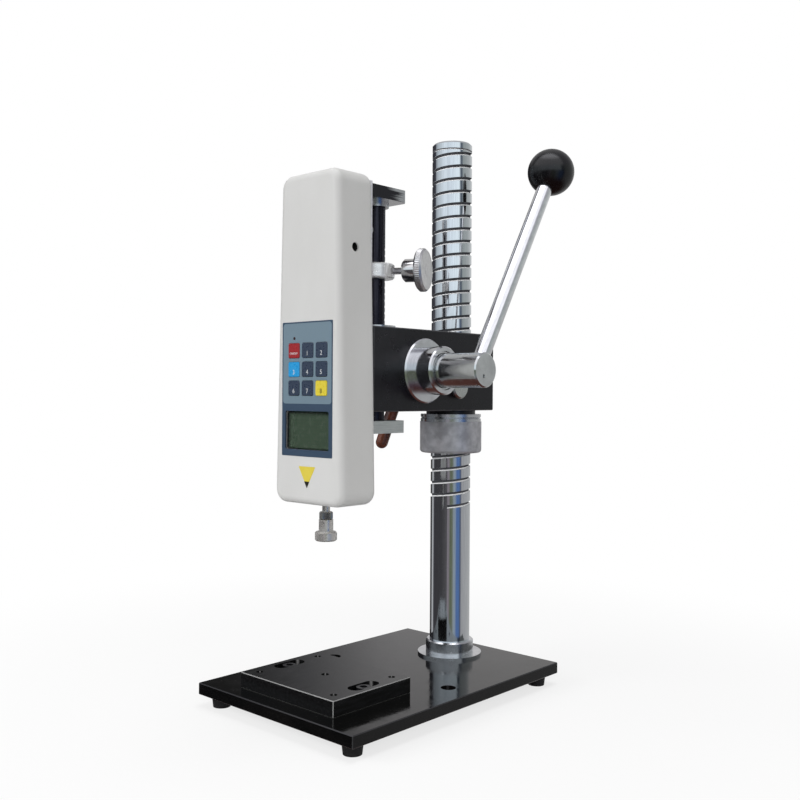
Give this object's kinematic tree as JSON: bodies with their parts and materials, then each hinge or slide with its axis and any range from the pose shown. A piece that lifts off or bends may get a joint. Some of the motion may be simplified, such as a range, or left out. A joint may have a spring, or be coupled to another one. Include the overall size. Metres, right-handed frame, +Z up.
{
  "type": "force gauge test stand",
  "caption": "Lever operated bench stand with a tapered digital force gauge on a rack driven ram, a grooved round column, a height nut and a black base plate with a small sample table.",
  "frame": {"origin": "on the bench, in the middle of the four rubber feet, right below the middle of the base plate; its two bench fixing holes are 3 mm further back", "axes": "+X to the lever's side, +Y back to the column, +Z up"},
  "size_m": [0.1726, 0.2355, 0.428],
  "materials": {
    "base_black": "gloss",
    "table_black": "satin",
    "foot_rubber": "matte",
    "column_chrome": "polished",
    "ring_chrome": "polished",
    "steel": "satin",
    "dark_steel": "satin",
    "nut_grey": "satin",
    "head_black": "satin",
    "bush_steel": "polished",
    "clamp_black": "satin",
    "handle_brown": "gloss",
    "housing_chrome": "polished",
    "lever_chrome": "polished",
    "ball_black": "gloss",
    "bar_black": "satin",
    "arm_steel": "polished",
    "arm_grey": "matte",
    "plate_steel": "polished",
    "case_white": "matte",
    "panel_blue": "satin",
    "key_red": "satin",
    "key_slate": "satin",
    "key_sky": "satin",
    "key_yellow": "satin",
    "window_clear": "gloss",
    "display_green": "satin",
    "board_green": "satin",
    "battery_blue": "satin",
    "cell_aluminium": "satin",
    "jack_black": "matte",
    "stop_steel": "polished",
    "thumb_grey": "satin",
    "probe_steel": "satin"
  },
  "bodies": {
    "stand": {"base_plate": "base_black", "rubber_feet": "foot_rubber", "foot_screws": "steel", "table_screws": "dark_steel", "column": "column_chrome", "column_ring": "ring_chrome", "column_screw": "steel"},
    "table": {"sample_table": "table_black"},
    "carriage": {"thrust_washer": "dark_steel"},
    "nut": {"height_nut": "nut_grey", "nut_ring": "ring_chrome"},
    "head": {"head_block": "head_black", "guide_bushes": "bush_steel", "clamp_cotters": "steel", "clamp_stud": "steel", "lever_housing": "housing_chrome"},
    "clamp": {"clamp_lever": "clamp_black", "clamp_handle": "handle_brown"},
    "lever": {"pinion": "steel", "lever_hub": "lever_chrome", "lever_rod": "lever_chrome", "ball_knob": "ball_black"},
    "ram": {"rack_bar": "bar_black", "lock_ring": "steel", "upper_arm": "arm_steel", "lower_arm": "arm_grey", "bar_screws": "steel", "gauge_plate": "plate_steel", "plate_screws": "steel", "gauge_screws": "steel", "front_case": "case_white", "back_cover": "case_white", "keypad_panel": "panel_blue", "display_window": "window_clear", "display_module": "display_green", "circuit_board": "board_green", "battery_pack": "battery_blue", "load_cell": "cell_aluminium", "charger_jack": "jack_black"},
    "stop": {"stop_collar": "stop_steel"},
    "thumb": {"thumb_screw": "thumb_grey"},
    "probe": {"measuring_shaft": "probe_steel", "compression_foot": "probe_steel"},
    "probe_nut": {"lock_nut": "probe_steel"},
    "key_1": {"key_1": "key_red"},
    "key_2": {"key_2": "key_slate"},
    "key_3": {"key_3": "key_slate"},
    "key_4": {"key_4": "key_sky"},
    "key_5": {"key_5": "key_slate"},
    "key_6": {"key_6": "key_slate"},
    "key_7": {"key_7": "key_slate"},
    "key_8": {"key_8": "key_slate"},
    "key_9": {"key_9": "key_yellow"}
  },
  "joints": [
    {"name": "table_slide", "type": "slide", "parent": "stand", "child": "table", "axis": [0, 1, 0], "range_m": [-0.0075, 0.0075]},
    {"name": "head_height", "type": "slide", "parent": "stand", "child": "carriage", "axis": [0, 0, 1], "range_m": [-0.0371, 0.1501]},
    {"name": "nut_turn", "type": "hinge", "parent": "carriage", "child": "nut", "pos_m": [0, 0.0756, 0], "axis": [0, 0, 1], "range_deg": [-1332, 5400]},
    {"name": "head_swivel", "type": "hinge", "parent": "carriage", "child": "head", "pos_m": [0, 0.0756, 0], "axis": [0, 0, 1], "continuous": true},
    {"name": "clamp_turn", "type": "hinge", "parent": "head", "child": "clamp", "pos_m": [0, 0.052, 0.232], "axis": [1, 0, 0], "range_deg": [-50, 60]},
    {"name": "ram_slide", "type": "slide", "parent": "head", "child": "ram", "axis": [0, 0, 1], "range_m": [-0.0333, 0.006]},
    {"name": "lever_turn", "type": "hinge", "parent": "head", "child": "lever", "pos_m": [0, 0.0115, 0.2435], "axis": [1, 0, 0], "range_deg": [-17.08, 94.32]},
    {"name": "stop_slide", "type": "slide", "parent": "ram", "child": "stop", "axis": [0, 0, 1], "range_m": [0, 0.038]},
    {"name": "thumb_turn", "type": "hinge", "parent": "stop", "child": "thumb", "pos_m": [0, -0.0145, 0.3167], "axis": [0.9135, 0.4067, 0], "range_deg": [0, 720]},
    {"name": "probe_give", "type": "slide", "parent": "ram", "child": "probe", "axis": [0, 0, 1], "range_m": [-0.0003, 0.0003], "stiffness_N_per_m": 20000},
    {"name": "probe_nut_turn", "type": "hinge", "parent": "probe", "child": "probe_nut", "pos_m": [0, -0.062, 0.14], "axis": [0, 0, 1], "range_deg": [0, 360]},
    {"name": "key_1_press", "type": "slide", "parent": "ram", "child": "key_1", "axis": [0, 1, 0], "range_m": [0, 0.0004], "stiffness_N_per_m": 400},
    {"name": "key_2_press", "type": "slide", "parent": "ram", "child": "key_2", "axis": [0, 1, 0], "range_m": [0, 0.0004], "stiffness_N_per_m": 400},
    {"name": "key_3_press", "type": "slide", "parent": "ram", "child": "key_3", "axis": [0, 1, 0], "range_m": [0, 0.0004], "stiffness_N_per_m": 400},
    {"name": "key_4_press", "type": "slide", "parent": "ram", "child": "key_4", "axis": [0, 1, 0], "range_m": [0, 0.0004], "stiffness_N_per_m": 400},
    {"name": "key_5_press", "type": "slide", "parent": "ram", "child": "key_5", "axis": [0, 1, 0], "range_m": [0, 0.0004], "stiffness_N_per_m": 400},
    {"name": "key_6_press", "type": "slide", "parent": "ram", "child": "key_6", "axis": [0, 1, 0], "range_m": [0, 0.0004], "stiffness_N_per_m": 400},
    {"name": "key_7_press", "type": "slide", "parent": "ram", "child": "key_7", "axis": [0, 1, 0], "range_m": [0, 0.0004], "stiffness_N_per_m": 400},
    {"name": "key_8_press", "type": "slide", "parent": "ram", "child": "key_8", "axis": [0, 1, 0], "range_m": [0, 0.0004], "stiffness_N_per_m": 400},
    {"name": "key_9_press", "type": "slide", "parent": "ram", "child": "key_9", "axis": [0, 1, 0], "range_m": [0, 0.0004], "stiffness_N_per_m": 400}
  ],
  "couplings": [
    {"joint": "nut_turn", "follows": "head_height", "rad_per_m": 628.32},
    {"joint": "lever_turn", "follows": "ram_slide", "rad_per_m": -49.383}
  ]
}
